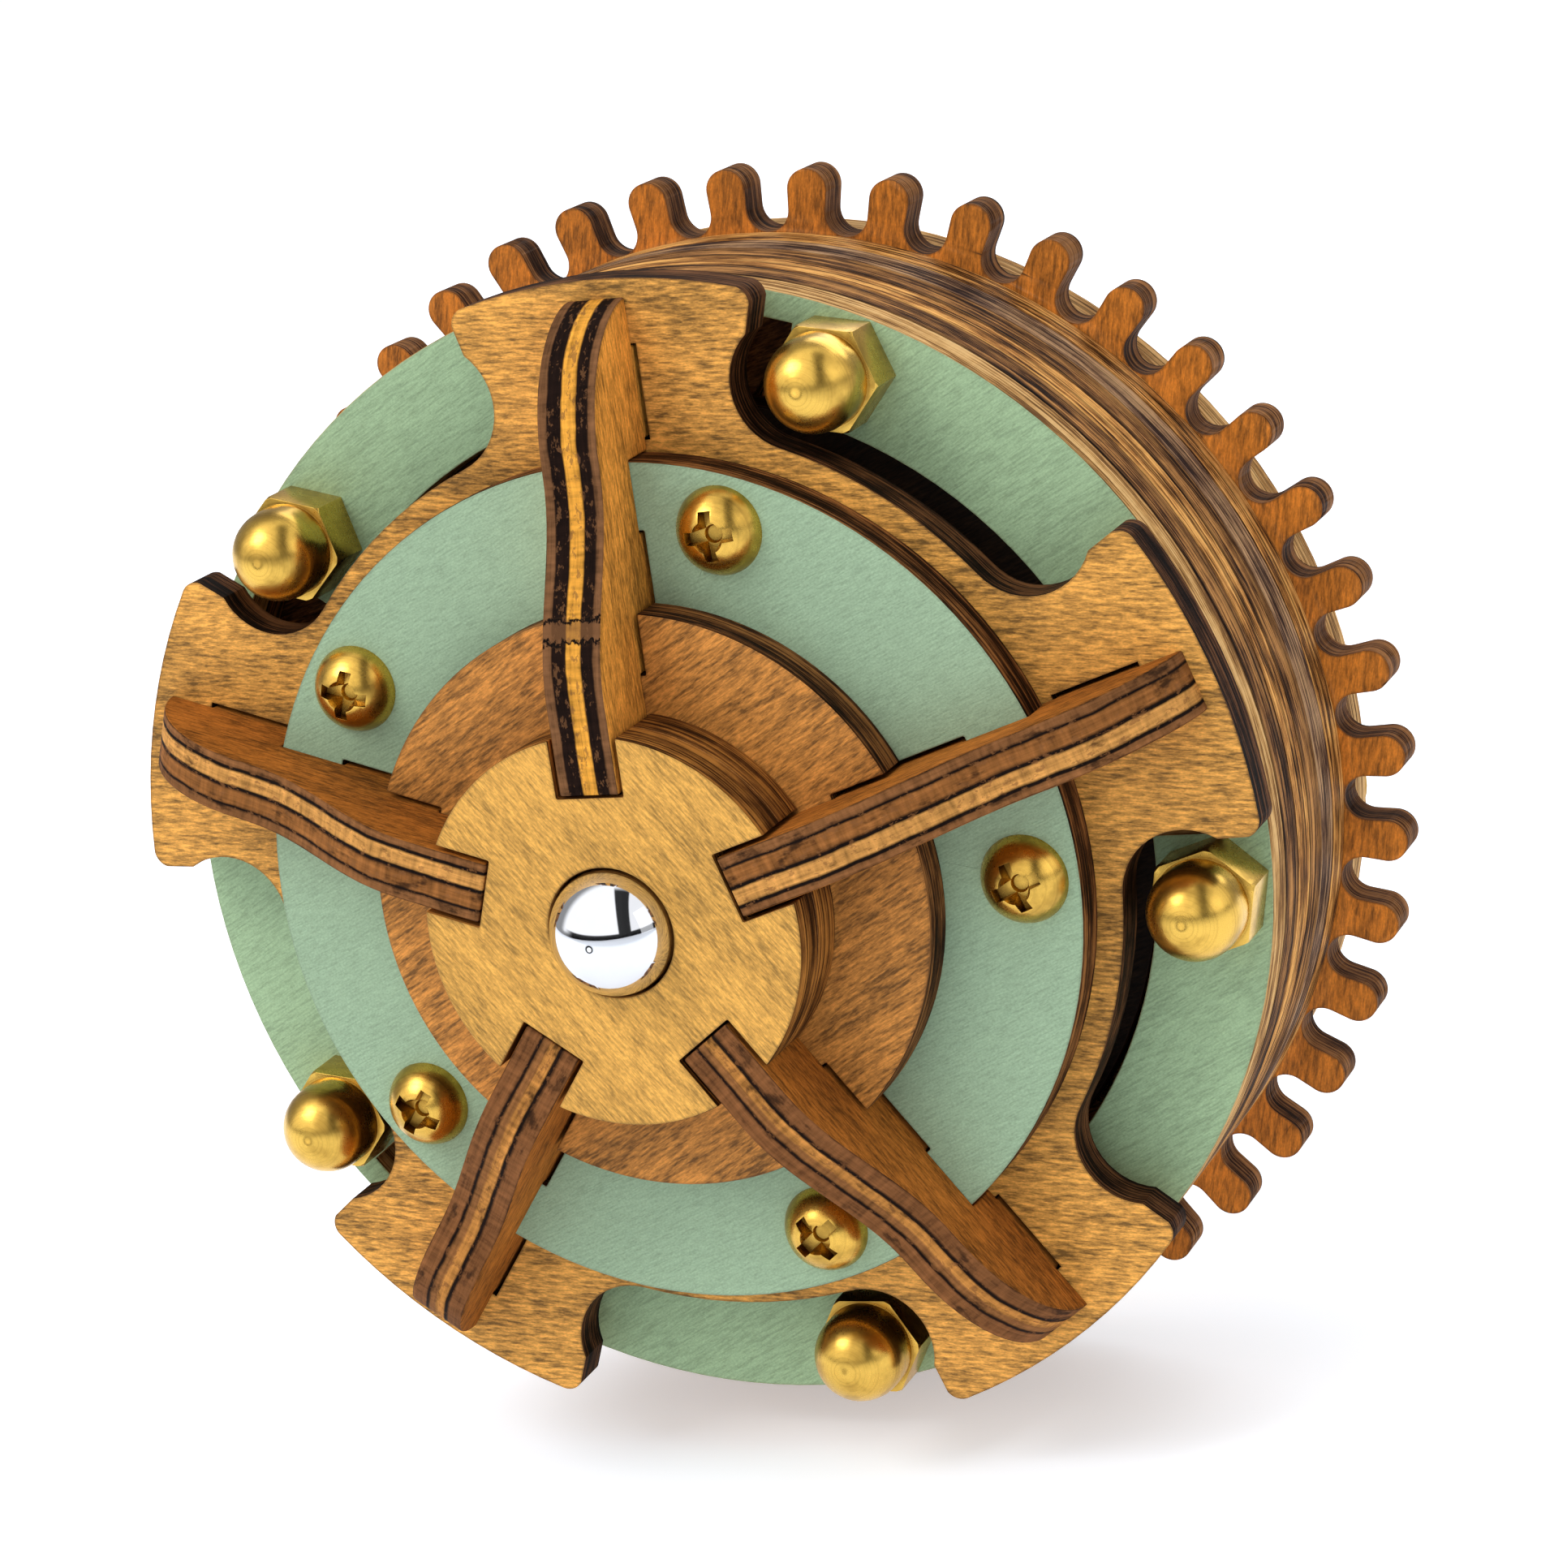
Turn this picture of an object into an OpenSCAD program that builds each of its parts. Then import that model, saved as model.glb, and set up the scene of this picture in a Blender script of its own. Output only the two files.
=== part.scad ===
// Planetary gear set built up from laser-cut plywood plates and brass hardware.
// The wheel stands upright: its axis is Y, its front faces -Y, +Z is up.
// The origin is on the axis, at the flat back face of the drum.

/* [Plates] */
// Thickness of every flat plate
ply = 3; // [2.8:0.1:3.2]
// Thickness of the five upright fins
fin_ply = 4.1; // [3.6:0.1:4.4]
// Free gap between the drum and the star plate in front of it
star_gap = 2.2; // [1.8:0.1:2.6]

/* [Drum] */
// Outer radius of the drum plates
drum_r = 38.85; // [38.4:0.05:39.2]
// Inner radius of the front plate between its windows
front_plate_in_r = 31; // [30.9:0.1:31.4]
// Outer radius of the five windows in the front plate
window_r = 37; // [36:0.1:37.2]
// Inner radius of the plain spacer rings
spacer_in_r = 32.6; // [32.2:0.1:32.8]
// Radius of the circle that the five drum bolts sit on
bolt_circle_r = 35.05; // [35:0.05:35.2]

/* [Outer teeth] */
// Number of teeth around the drum
outer_teeth = 44; // [40:2:44]
// Radius at the tips of the outer teeth
tooth_tip_r = 43.25; // [43:0.05:43.5]
// Radius of the rounded end of each outer tooth
tooth_round_r = 1.42; // [1.3:0.02:1.46]
// Radius of the round bottom of each outer gap
tooth_gap_r = 1.54; // [1.4:0.02:1.6]

/* [Planetary train] */
// Module of the inner gears
gear_module = 1; // [1:1:1]
// Teeth on the sun gear
sun_teeth = 39; // [39:1:39]
// Teeth on each planet gear
planet_teeth = 11; // [11:1:11]
// Pressure angle of the inner gears in degrees
pressure_angle = 25; // [24:1:26]
// Width taken off each tooth at the pitch circle
tooth_thinning = 0.15; // [0.1:0.05:0.2]
// Thickness of the sun and the planets
gear_face = 5.8; // [5.4:0.1:5.8]

/* [Rotor] */
// Outer radius of the star plate
star_r = 40; // [39.6:0.1:40.2]
// Inner radius of the five bays of the star plate
bay_in_r = 30.4; // [30.2:0.1:30.5]
// Radius of the round ends of each bay
bay_end_r = 4.4; // [4.3:0.05:4.45]
// Outer radius of the painted carrier disc
carrier_disc_r = 28.7; // [28.4:0.1:28.9]
// Outer radius of the collar disc
collar_disc_r = 19.5; // [19.2:0.1:19.8]
// Outer radius of the two hub discs
hub_disc_r = 13.05; // [12.8:0.05:13.3]
// Radius of the hole around the chrome cap
cap_hole_r = 4.35; // [4.3:0.05:4.6]
// Angle from each fin to the planet beside it
planet_lag = 17.6; // [17:0.1:18]
// Angle from each fin to the drum bolt beside it
bolt_lag = 23.5; // [23:0.1:24]

/* [Hardware] */
// Radius of the steel central shaft
shaft_r = 2.5; // [2.4:0.1:2.6]
// Radius of the drive socket in the back end of the shaft
socket_r = 1.5; // [1.3:0.1:1.6]
// Depth of the drive socket
socket_depth = 8; // [6:0.5:10]
// Radius of the chrome cap
cap_r = 4.2; // [3.95:0.05:4.2]

/* [Hidden] */
$fn = 96;
SMALL = 0.05;
sectors = 5;
sector = 360 / sectors;
fin_angle = 90;

// Stations along the axis, from the back face at 0 towards the front.
y_tooth = -2 * ply;
y_rear_ring = -3 * ply;
y_spacer_rear = -4 * ply;
y_ring_rear = -5 * ply;
y_ring_front = -6 * ply;
y_spacer_front = -7 * ply;
y_drum_front = -8 * ply;
y_star_back = y_drum_front - star_gap;
y_star = y_star_back - ply;
y_carrier = y_star - ply;
y_collar = y_carrier - ply;
y_hub_rear = y_collar - ply;
y_hub_front = y_hub_rear - ply;

// Planetary train.
planet_orbit_r = gear_module * (sun_teeth + planet_teeth) / 2;
ring_teeth = sun_teeth + 2 * planet_teeth;
addendum = 0.9 * gear_module;
dedendum = 1.15 * gear_module;
flank_steps = 5;
y_gear = y_ring_front + (2 * ply - gear_face) / 2;
planet_bore_r = 2.05;
planet_bush_r = 2.0;
planet_bush_bore_r = 1.55;
sun_spacer_r = 3.6;

// Carrier plates inside the drum.
inner_disc_r = 30.3;
inner_disc_play = 0.2;
y_inner_disc = y_ring_front - inner_disc_play - ply;
y_rear_disc = y_ring_rear + ply + 0.3;
rear_disc_r = 29.5;
disc_bore_r = 4.4;
spacer_tube_r = 3;

// Fins and the slots that hold them: tabs end just short of each slot's ends,
// and glue fills the wider gap along their sides.
slot_play = 0.1;
slot_side_gap = 0.3;
hub_slot_in_r = 9;
fin_in_r = 9.15;
fin_out_r = 38.7;
collar_slot_in_r = 15.3;
carrier_slot_out_r = 24.1;
star_slot_in_r = 29.4;
star_slot_out_r = 35.7;

// Bays of the star plate.
bay_half_angle = 14.4;
bay_centre_r = 34.8;
bay_mouth_r = 36;
bay_mouth_half_angle = 20.4;
lobe_corner_r = 1.2;
lobe_corner_angle = 22.1;

// Windows of the drum's front plates, as angles from the fins at rest.
window_start = -17.4;
window_end = 12;

// M3 screws, M3 nuts and their tubes.
m3_r = 1.5;
m3_hole_r = 1.6;
m3_head_r = 2.95;
m3_head_h = 2.3;
m3_nut_flats = 5.5;
m3_nut_h = 2.4;

// M4 bolts and their acorn nuts.
m4_r = 2;
m4_hole_r = 2.05;
m4_sink_r = 3.9;
m4_sink_h = 2.2;
acorn_flats = 6.6;
acorn_hex_h = 3.5;
acorn_h = 8;
acorn_dome_r = 3.15;
acorn_thread = 5;
// Turn of each acorn nut's hexagon, as each was tightened.
acorn_turns = [-17, 23, 18, 20, 26];

// Brass flanged bushes.
bush_r = 4;
bush_bore_r = shaft_r + 0.05;
bush_flange_r = 6;
bush_flange_h = 1.2;

// ---- helpers ----

function polar(r, a) = [r * cos(a), r * sin(a)];

// Involute function of an angle in degrees, in degrees.
function involute(a) = tan(a) * 180 / PI - a;

// Half the angle that a tooth of a gear of z teeth fills at radius r.
function half_tooth(z, r, thinning) =
    let (pitch_r = gear_module * z / 2,
         base_r = pitch_r * cos(pressure_angle),
         here = r > base_r ? acos(base_r / r) : 0)
    90 / z - thinning / (2 * pitch_r) * 180 / PI + involute(pressure_angle) - involute(here);

// Outline of an involute gear from root_r to tip_r, one tooth centred on angle 0.
function gear_outline(z, root_r, tip_r, thinning) =
    let (base_r = gear_module * z / 2 * cos(pressure_angle),
         start_r = max(base_r, root_r),
         radii = [for (i = [0:flank_steps]) start_r + (tip_r - start_r) * i / flank_steps],
         root_half = half_tooth(z, start_r, thinning))
    [for (t = [0:z - 1])
        let (mid = t * 360 / z)
        each concat(
            [polar(root_r, mid - root_half)],
            [for (r = radii) polar(r, mid - half_tooth(z, r, thinning))],
            [for (i = [0:flank_steps])
                let (r = radii[flank_steps - i])
                polar(r, mid + half_tooth(z, r, thinning))],
            [polar(root_r, mid + root_half)])];

// Stands a flat outline up as a plate from y0 towards the back.
module plate(y0, thickness = ply) {
    translate([0, y0 + thickness, 0])
        rotate([90, 0, 0])
            linear_extrude(thickness) children();
}

// A round bar along the axis from y0 to y0 + len.
module bar(r, y0, len) {
    plate(y0, len) circle(r);
}

// Copies an outline at the five places offset from the fins by an angle.
module five(offset_angle = 0) {
    for (i = [0:sectors - 1])
        rotate(fin_angle + offset_angle - i * sector) children();
}

// Places a solid at the five places on a circle, its own X pointing outwards.
module five_solid(r, offset_angle) {
    for (i = [0:sectors - 1])
        rotate([0, -(fin_angle + offset_angle - i * sector), 0])
            translate([r, 0, 0]) children();
}

module holes(r, circle_r, offset_angle) {
    five(offset_angle) translate([circle_r, 0]) circle(r);
}

// A pie slice between two angles, for cutting.
module slice(a0, a1, r) {
    mid = (a0 + a1) / 2;
    reach = r / cos((a1 - a0) / 4);
    polygon([[0, 0], polar(r, a0), polar(reach, (a0 + mid) / 2), polar(r, mid),
             polar(reach, (mid + a1) / 2), polar(r, a1)]);
}

module ring_slice(r0, r1, a0, a1) {
    intersection() {
        difference() {
            circle(r1);
            circle(r0);
        }
        slice(a0, a1, 2 * r1);
    }
}

// ---- drum ----

module bolt_holes() {
    holes(m4_hole_r, bolt_circle_r, -bolt_lag);
}

module windows() {
    five() ring_slice(front_plate_in_r - 2, window_r, window_start, window_end);
}

module ring_outline(in_r) {
    difference() {
        circle(drum_r);
        circle(in_r);
        bolt_holes();
    }
}

module drum_front_plate() {
    color("mediumaquamarine")
        plate(y_drum_front) difference() {
            ring_outline(front_plate_in_r);
            windows();
        }
}

module drum_spacer_front() {
    color("peru")
        plate(y_spacer_front) difference() {
            ring_outline(spacer_in_r);
            windows();
        }
}

module ring_gear_plate(y0) {
    tip_r = gear_module * ring_teeth / 2 - addendum;
    root_r = gear_module * ring_teeth / 2 + dedendum;
    color("burlywood")
        plate(y0) difference() {
            circle(drum_r);
            rotate(fin_angle - planet_lag)
                polygon(gear_outline(ring_teeth, tip_r, root_r, -tooth_thinning));
            bolt_holes();
        }
}

module ring_gear_front() {
    ring_gear_plate(y_ring_front);
}

module ring_gear_rear() {
    ring_gear_plate(y_ring_rear);
}

module drum_spacer_rear() {
    color("peru") plate(y_spacer_rear) ring_outline(spacer_in_r);
}

module drum_rear_ring() {
    color("sandybrown") plate(y_rear_ring) ring_outline(spacer_in_r);
}

module outer_gear_outline() {
    pitch = 360 / outer_teeth;
    round_centre_r = tooth_tip_r - tooth_round_r;
    gap_centre_r = drum_r + tooth_gap_r;
    gap_top_half = round_centre_r * sin(pitch / 2) - tooth_round_r;
    difference() {
        circle(round_centre_r);
        for (i = [0:outer_teeth - 1])
            rotate(fin_angle + (i + 0.5) * pitch) {
                translate([gap_centre_r, 0]) circle(tooth_gap_r);
                polygon([[gap_centre_r, -tooth_gap_r], [round_centre_r * cos(pitch / 2), -gap_top_half],
                         [tooth_tip_r, -gap_top_half], [tooth_tip_r, gap_top_half],
                         [round_centre_r * cos(pitch / 2), gap_top_half], [gap_centre_r, tooth_gap_r]]);
            }
    }
    for (i = [0:outer_teeth - 1])
        rotate(fin_angle + i * pitch)
            translate([round_centre_r, 0]) circle(tooth_round_r);
}

module toothed_plate() {
    color("saddlebrown")
        plate(y_tooth) difference() {
            outer_gear_outline();
            circle(bush_r + SMALL);
            bolt_holes();
        }
}

module rear_plate() {
    color("wheat")
        difference() {
            plate(-ply) difference() {
                circle(drum_r);
                circle(bush_r + SMALL);
                bolt_holes();
            }
            five_solid(bolt_circle_r, -bolt_lag)
                rotate([90, 0, 0]) translate([0, 0, -1])
                    cylinder(h = 1 + m4_sink_h, r1 = m4_sink_r + 1, r2 = m4_r);
        }
}

// Countersunk bolts, heads flush with the back face.
module drum_bolts() {
    shank = -y_drum_front + acorn_thread;
    color("goldenrod")
        five_solid(bolt_circle_r, -bolt_lag)
            rotate([90, 0, 0]) {
                cylinder(h = shank, r = m4_r);
                cylinder(h = m4_sink_h, r1 = m4_sink_r - SMALL, r2 = m4_r - SMALL);
            }
}

// Outline of an acorn nut's dome, as radius and height above its seat.
module acorn_dome_outline() {
    translate([0, acorn_hex_h]) square([acorn_dome_r, acorn_h - acorn_hex_h - acorn_dome_r]);
    translate([0, acorn_h - acorn_dome_r]) intersection() {
        circle(acorn_dome_r);
        square(acorn_dome_r);
    }
}

module acorn_nut() {
    corner_r = acorn_flats / 2 / cos(30);
    difference() {
        union() {
            intersection() {
                cylinder(h = acorn_hex_h, r = corner_r, $fn = 6);
                cylinder(h = acorn_hex_h, r1 = corner_r + 2, r2 = corner_r - 0.15);
            }
            rotate_extrude() acorn_dome_outline();
        }
        translate([0, 0, -1]) cylinder(h = 1 + acorn_thread, r = m4_r);
    }
}

module acorn_nuts() {
    color("gold")
        for (i = [0:sectors - 1])
            rotate([0, -(fin_angle - bolt_lag - i * sector), 0])
                translate([bolt_circle_r, y_drum_front, 0])
                    rotate([90, 0, 0]) rotate(acorn_turns[i]) acorn_nut();
}

// Brass bush along the axis; the flange is on its front or back end.
module bush(y0, len, flange_y) {
    color("goldenrod")
        difference() {
            union() {
                bar(bush_r, y0, len);
                bar(bush_flange_r, flange_y, bush_flange_h);
            }
            bar(bush_bore_r, y0 - 10, len + 20);
        }
}

module rear_bush() {
    bush(y_tooth, 2 * ply, y_tooth - bush_flange_h);
}

// ---- rotor ----

// Slots for the fins, open at the edge of a disc when out_r is past it.
module fin_slots(in_r, out_r, half_w) {
    five() translate([in_r, -half_w]) square([out_r - in_r, 2 * half_w]);
}

module hub_disc(y0, bore_r) {
    plate(y0) difference() {
        circle(hub_disc_r);
        circle(bore_r);
        fin_slots(hub_slot_in_r, hub_disc_r + 1, fin_ply / 2 + slot_side_gap);
    }
}

module hub_front_disc() {
    color("burlywood") hub_disc(y_hub_front, cap_hole_r);
}

module hub_rear_disc() {
    color("peru") hub_disc(y_hub_rear, bush_r + SMALL);
}

module collar_disc() {
    color("sienna")
        plate(y_collar) difference() {
            circle(collar_disc_r);
            circle(bush_r + SMALL);
            fin_slots(collar_slot_in_r, collar_disc_r + 1, fin_ply / 2 + slot_side_gap);
        }
}

module carrier_disc() {
    color("aquamarine")
        plate(y_carrier) difference() {
            circle(carrier_disc_r);
            circle(bush_r + SMALL);
            fin_slots(collar_slot_in_r, carrier_slot_out_r, fin_ply / 2 + slot_side_gap);
            holes(m3_hole_r, planet_orbit_r, -planet_lag);
        }
}

// One bay of the star plate, centred on angle 0 and open at the rim.
module bay() {
    past_rim = star_r + 2;
    ring_slice(bay_in_r, past_rim, -bay_half_angle, bay_half_angle);
    ring_slice(bay_mouth_r, past_rim, -bay_mouth_half_angle, bay_mouth_half_angle);
    for (side = [-1, 1])
        rotate(side * bay_half_angle) translate([bay_centre_r, 0]) circle(bay_end_r);
    for (side = [-1, 1])
        difference() {
            ring_slice(star_r - lobe_corner_r, past_rim,
                       min(side * bay_half_angle, side * lobe_corner_angle),
                       max(side * bay_half_angle, side * lobe_corner_angle));
            rotate(side * lobe_corner_angle)
                translate([star_r - lobe_corner_r, 0]) circle(lobe_corner_r);
        }
}

module star_plate() {
    color("chocolate")
        plate(y_star) difference() {
            circle(star_r);
            circle(bush_flange_r + 2 * SMALL);
            five(-sector / 2) bay();
            fin_slots(star_slot_in_r, star_slot_out_r, fin_ply / 2 + slot_side_gap);
            holes(m3_hole_r, planet_orbit_r, -planet_lag);
        }
}

// Front edge of a fin as radius and axial place: flat at the hub, an S-shaped
// drop over the carrier disc and a rounded end on the star plate.
function fin_front_edge() =
    let (hub_y = y_hub_front, waist_y = y_star - 7.45,
         drop_r0 = 15, drop_r1 = 29, round_r0 = 29, steps = 14)
    concat(
        [[fin_in_r, hub_y], [drop_r0, hub_y]],
        [for (i = [1:steps])
            let (t = i / steps)
            [drop_r0 + (drop_r1 - drop_r0) * t,
             hub_y + (waist_y - hub_y) * (1 - cos(180 * t)) / 2]],
        [for (i = [1:steps])
            let (a = 90 * i / steps)
            [round_r0 + (fin_out_r - round_r0) * pow(sin(a), 0.95),
             waist_y + (y_star - waist_y) * (1 - pow(cos(a), 1.15))]]);

// Back edge of a fin: steps down over the discs, with tabs in their slots.
function fin_back_edge() = [
    [star_slot_out_r - slot_play, y_star],
    [star_slot_out_r - slot_play, y_star_back - slot_play],
    [star_slot_in_r + slot_play, y_star_back - slot_play],
    [star_slot_in_r + slot_play, y_star],
    [carrier_disc_r, y_star],
    [carrier_disc_r, y_carrier],
    [carrier_slot_out_r - slot_play, y_carrier],
    [carrier_slot_out_r - slot_play, y_star],
    [collar_slot_in_r + slot_play, y_star],
    [collar_slot_in_r + slot_play, y_collar],
    [fin_in_r, y_collar]
];

module fin(index) {
    color("peru")
        rotate([0, -(fin_angle - (index - 1) * sector), 0])
            translate([0, 0, -fin_ply / 2])
                linear_extrude(fin_ply)
                    polygon(concat(fin_front_edge(), fin_back_edge()));
}

// Pan-head screws with a cross recess; they carry the planets.
module planet_screws() {
    shank = y_rear_disc + ply + m3_nut_h - y_carrier;
    ball_r = (pow(m3_head_r, 2) + pow(m3_head_h, 2)) / (2 * m3_head_h);
    recess_half = 1.65;
    recess_w = 0.85;
    color("gold")
        five_solid(planet_orbit_r, -planet_lag)
            translate([0, y_carrier, 0]) {
                rotate([-90, 0, 0]) cylinder(h = shank, r = m3_r);
                rotate([90, 0, 0]) difference() {
                    rotate_extrude() intersection() {
                        translate([0, m3_head_h - ball_r]) circle(ball_r);
                        square([m3_head_r, m3_head_h + 1]);
                    }
                    for (turn = [0, 90])
                        rotate(turn + 20)
                            translate([-recess_half, -recess_w / 2, m3_head_h - 1.4])
                                cube([2 * recess_half, recess_w, 2]);
                    translate([0, 0, m3_head_h - 1.7]) cylinder(h = 2, r1 = 0.5, r2 = 1.25);
                }
            }
}

// Tubes that hold the star plate and the inner disc apart.
module carrier_spacers() {
    color("goldenrod")
        five_solid(planet_orbit_r, -planet_lag) difference() {
            bar(spacer_tube_r, y_star_back, y_inner_disc - y_star_back);
            bar(m3_hole_r, y_star_back - 1, y_inner_disc - y_star_back + 2);
        }
}

// Bearing tubes that the planets run on.
module planet_bushes() {
    color("goldenrod")
        five_solid(planet_orbit_r, -planet_lag) difference() {
            bar(planet_bush_r, y_inner_disc + ply, y_rear_disc - y_inner_disc - ply);
            bar(planet_bush_bore_r, y_inner_disc, y_rear_disc - y_inner_disc);
        }
}

module inner_carrier_plate(y0, r) {
    plate(y0) difference() {
        circle(r);
        circle(disc_bore_r);
        holes(m3_hole_r, planet_orbit_r, -planet_lag);
    }
}

module carrier_inner_disc() {
    color("tan") inner_carrier_plate(y_inner_disc, inner_disc_r);
}

module carrier_rear_disc() {
    color("tan") inner_carrier_plate(y_rear_disc, rear_disc_r);
}

module planet_lock_nuts() {
    color("gold")
        five_solid(planet_orbit_r, -planet_lag)
            translate([0, y_rear_disc + ply, 0])
                rotate([-90, 0, 0]) difference() {
                    cylinder(h = m3_nut_h, r = m3_nut_flats / 2 / cos(30), $fn = 6);
                    translate([0, 0, -1]) cylinder(h = m3_nut_h + 2, r = m3_r);
                }
}

module carrier_bush() {
    bush(y_hub_rear, y_star - y_hub_rear, y_star);
}

// ---- planets and sun ----

// A planet meshed with the ring; each one is turned to suit its place.
module planet(index) {
    k = index - 1;
    pitch_r = gear_module * planet_teeth / 2;
    place = fin_angle - planet_lag + k * sector;
    turn = -k * sector / planet_teeth;
    color("sandybrown")
        rotate([0, -place, 0]) translate([planet_orbit_r, 0, 0])
            plate(y_gear, gear_face) rotate(turn) difference() {
                polygon(gear_outline(planet_teeth, pitch_r - dedendum, pitch_r + addendum,
                                     tooth_thinning));
                circle(planet_bore_r);
            }
}

module sun_gear() {
    pitch_r = gear_module * sun_teeth / 2;
    relief_r = 3.8;
    relief_circle_r = 11;
    color("burlywood")
        plate(y_gear, gear_face) difference() {
            rotate(fin_angle - planet_lag)
                polygon(gear_outline(sun_teeth, pitch_r - dedendum, pitch_r + addendum,
                                     tooth_thinning));
            circle(shaft_r);
            holes(relief_r, relief_circle_r, 0);
        }
}

module central_shaft() {
    front_end = y_hub_front + 1;
    color("silver")
        difference() {
            bar(shaft_r, front_end, -front_end);
            bar(socket_r, -socket_depth, socket_depth + 1);
        }
}

// Domed cap pressed on the front end of the shaft.
module chrome_cap() {
    dome_sink = 0.9;
    ball_r = sqrt(pow(cap_r, 2) + pow(dome_sink, 2));
    skirt_end = y_hub_rear - 0.2;
    color("white")
        difference() {
            union() {
                bar(cap_r, y_hub_front, skirt_end - y_hub_front);
                translate([0, y_hub_front, 0]) rotate([90, 0, 0]) rotate_extrude() intersection() {
                    translate([0, -dome_sink]) circle(ball_r);
                    square([cap_r, ball_r]);
                }
            }
            bar(shaft_r, y_hub_front + 1, 10);
        }
}

module sun_spacer(y0, y1) {
    color("goldenrod")
        difference() {
            bar(sun_spacer_r, y0, y1 - y0);
            bar(shaft_r, y0 - 1, y1 - y0 + 2);
        }
}

module sun_spacer_front() {
    sun_spacer(y_star + bush_flange_h + 0.1, y_gear);
}

module sun_spacer_rear() {
    sun_spacer(y_gear + gear_face, y_tooth - bush_flange_h - 0.1);
}

drum_front_plate();
drum_spacer_front();
ring_gear_front();
ring_gear_rear();
drum_spacer_rear();
drum_rear_ring();
toothed_plate();
rear_plate();
drum_bolts();
acorn_nuts();
rear_bush();
hub_front_disc();
hub_rear_disc();
collar_disc();
carrier_disc();
star_plate();
fin(1);  // fin_1
fin(2);  // fin_2
fin(3);  // fin_3
fin(4);  // fin_4
fin(5);  // fin_5
planet_screws();
carrier_spacers();
planet_bushes();
carrier_inner_disc();
carrier_rear_disc();
planet_lock_nuts();
carrier_bush();
planet(1);  // planet_1
planet(2);  // planet_2
planet(3);  // planet_3
planet(4);  // planet_4
planet(5);  // planet_5
sun_gear();
central_shaft();
chrome_cap();
sun_spacer_front();
sun_spacer_rear();
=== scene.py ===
"""Looks for the plywood planetary gear set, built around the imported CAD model."""

import math

import bpy
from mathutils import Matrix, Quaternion, Vector


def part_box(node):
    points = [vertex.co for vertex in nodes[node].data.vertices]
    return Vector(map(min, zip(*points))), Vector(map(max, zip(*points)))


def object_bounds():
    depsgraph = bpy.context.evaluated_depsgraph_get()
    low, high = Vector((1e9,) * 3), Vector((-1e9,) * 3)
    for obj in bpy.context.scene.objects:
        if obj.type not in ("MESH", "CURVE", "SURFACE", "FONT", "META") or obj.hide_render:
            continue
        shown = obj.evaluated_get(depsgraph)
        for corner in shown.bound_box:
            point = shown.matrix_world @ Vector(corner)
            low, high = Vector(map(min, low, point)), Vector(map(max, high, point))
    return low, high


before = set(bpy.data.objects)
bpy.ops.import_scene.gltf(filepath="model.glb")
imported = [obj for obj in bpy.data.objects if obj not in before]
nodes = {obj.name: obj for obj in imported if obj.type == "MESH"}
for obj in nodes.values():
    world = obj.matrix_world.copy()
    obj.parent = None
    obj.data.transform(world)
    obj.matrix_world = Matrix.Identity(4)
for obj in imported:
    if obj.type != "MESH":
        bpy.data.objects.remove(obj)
cad_box = [list(corner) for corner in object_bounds()]
scene = bpy.context.scene

MM = 0.001
SECTORS = 5
TOP_FIN_ANGLE = math.radians(90.0)
SECTOR = 2.0 * math.pi / SECTORS


# ---- mesh finish: soft laser-cut edges and smooth round walls ----

def finish_mesh(obj, width_mm, smooth_deg=30.0, segments=2, weighted=True):
    """Welds, bevels and smooths a CAD node with modifiers; its own vertices stay."""
    weld = obj.modifiers.new("weld", "WELD")
    weld.merge_threshold = 0.002 * MM
    bevel = obj.modifiers.new("soft_edge", "BEVEL")
    bevel.width = width_mm * MM
    bevel.segments = segments
    bevel.limit_method = "ANGLE"
    bevel.angle_limit = math.radians(smooth_deg)
    bevel.use_clamp_overlap = True
    bevel.harden_normals = False
    for poly in obj.data.polygons:
        poly.use_smooth = True
    if weighted:
        normals = obj.modifiers.new("normals", "WEIGHTED_NORMAL")
        normals.mode = "FACE_AREA"
        normals.weight = 100
        normals.keep_sharp = False


# ---- node graph helper ----

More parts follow.
